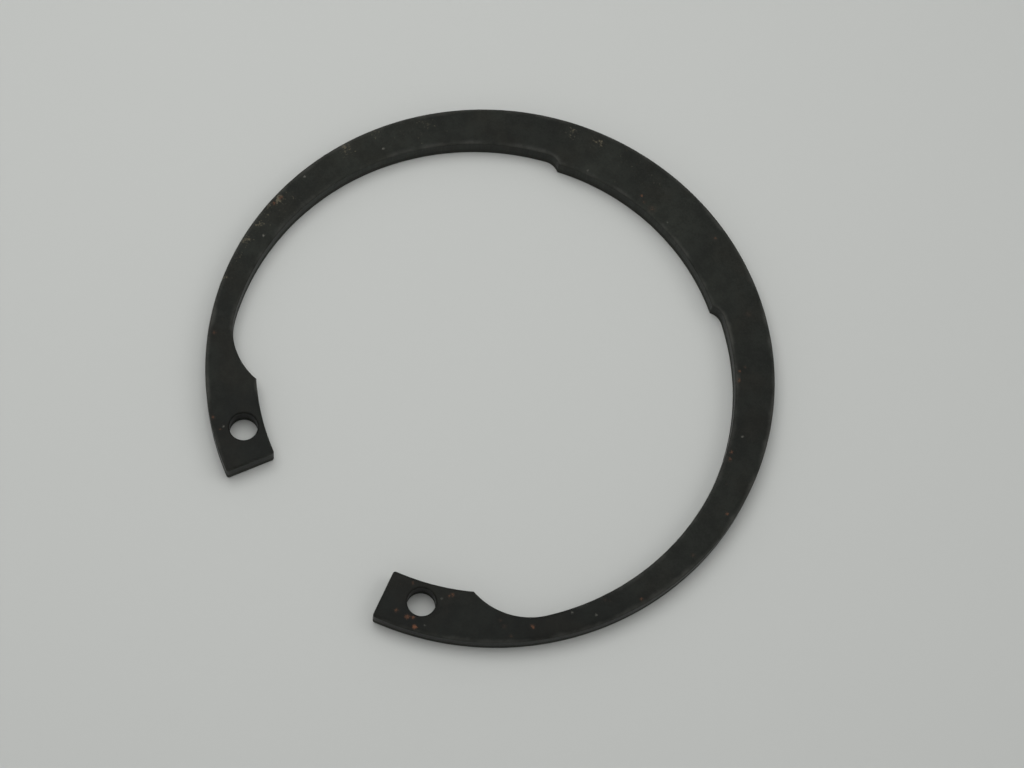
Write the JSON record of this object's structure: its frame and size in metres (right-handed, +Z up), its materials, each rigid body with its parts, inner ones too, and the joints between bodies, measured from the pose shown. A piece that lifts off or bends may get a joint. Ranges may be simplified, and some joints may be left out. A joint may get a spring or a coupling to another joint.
{
  "type": "circlip",
  "caption": "Flat stamped spring-steel ring with an open gap, a plier hole in each lug, tapered arms and a wide bridge; it snaps into a groove inside a bore to hold a part in place.",
  "frame": {"origin": "centre of the circle of the outer rim, on the face that it lies on", "axes": "+Z up through the thickness of the steel, -Y towards the gap between the lugs, X across the gap"},
  "size_m": [0.108, 0.1043, 0.004],
  "materials": {
    "phosphated_spring_steel": "satin"
  },
  "bodies": {
    "root": {"circlip": "phosphated_spring_steel"}
  },
  "joints": []
}
